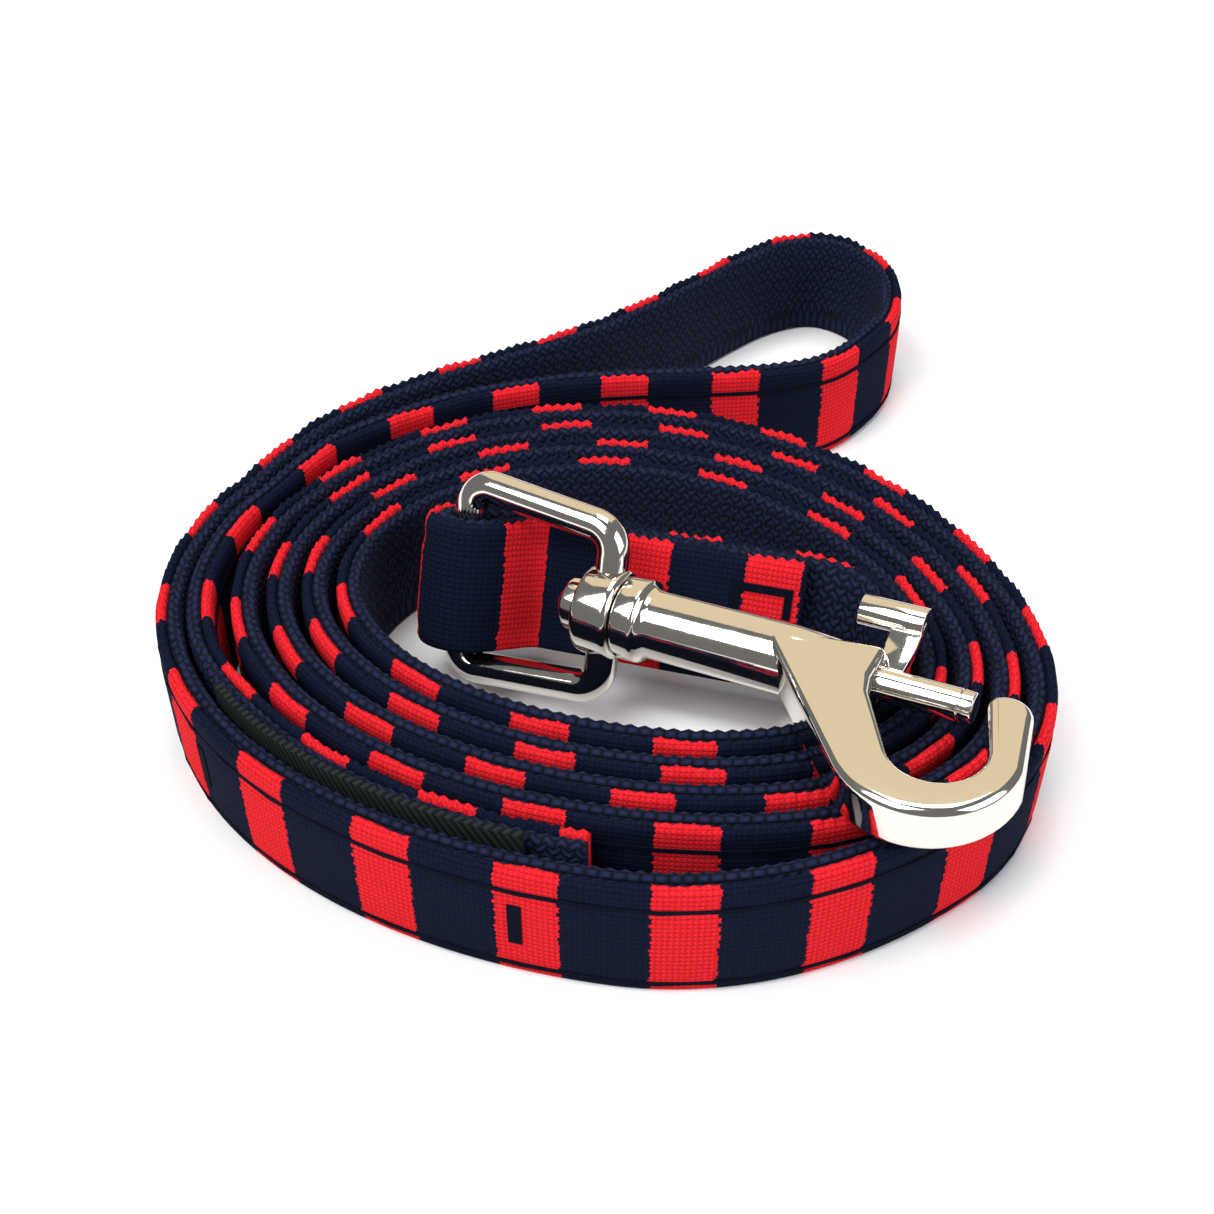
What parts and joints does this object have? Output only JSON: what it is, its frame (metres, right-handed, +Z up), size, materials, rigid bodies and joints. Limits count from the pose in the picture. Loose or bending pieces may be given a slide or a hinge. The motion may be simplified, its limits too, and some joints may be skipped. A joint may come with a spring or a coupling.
{
  "type": "strap lead",
  "caption": "Flat knitted-and-woven strap lead, coiled on edge with a sewn hand loop, and a swivel bolt snap at the sewn end.",
  "frame": {"origin": "middle of the box of the coiled lead, on the surface it lies on", "axes": "+Y from the coil towards the hand loop, +Z up, +X to the side the hook points to"},
  "size_m": [0.0976, 0.126, 0.0252],
  "materials": {
    "webbing": "woven, matt",
    "knit": "knitted, matt, with red cross stripes",
    "thread": "sewing thread",
    "tape": "twill tape",
    "nickel": "nickel plate, polished",
    "spring_steel": "drawn wire"
  },
  "bodies": {
    "lead": {"snap_end_webbing": "webbing", "inner_turn_webbing": "webbing", "coil_webbing": "webbing", "hand_loop_webbing": "webbing", "snap_end_knit": "knit", "inner_turn_knit": "knit", "coil_knit": "knit", "hand_loop_knit": "knit", "upper_seam_thread": "thread", "lower_seam_thread": "thread", "snap_end_stitching": "thread", "hand_loop_bartacks": "thread", "twill_tape": "tape"},
    "eye": {"swivel_eye": "nickel"},
    "snap": {"snap_body": "nickel", "swivel_pin": "nickel", "bolt_spring": "spring_steel"},
    "bolt": {"trigger_bolt": "nickel", "thumb_tab": "nickel"}
  },
  "joints": [
    {"name": "eye_pivot", "type": "hinge", "parent": "lead", "child": "eye", "pos_m": [-0.01475, -0.01554, 0.0128], "axis": [-0.1094, -0.4082, -0.9063], "range_deg": [0, 40]},
    {"name": "swivel", "type": "hinge", "parent": "eye", "child": "snap", "pos_m": [0.00136, -0.02411, 0.01527], "axis": [-0.8723, 0.4766, -0.1094], "range_deg": [0, 20]},
    {"name": "bolt_slide", "type": "slide", "parent": "snap", "child": "bolt", "axis": [-0.8723, 0.4766, -0.1094], "range_m": [0, 0.0085], "stiffness_N_per_m": 150, "springref_m": -0.004, "deforming": ["bolt_spring"]}
  ]
}
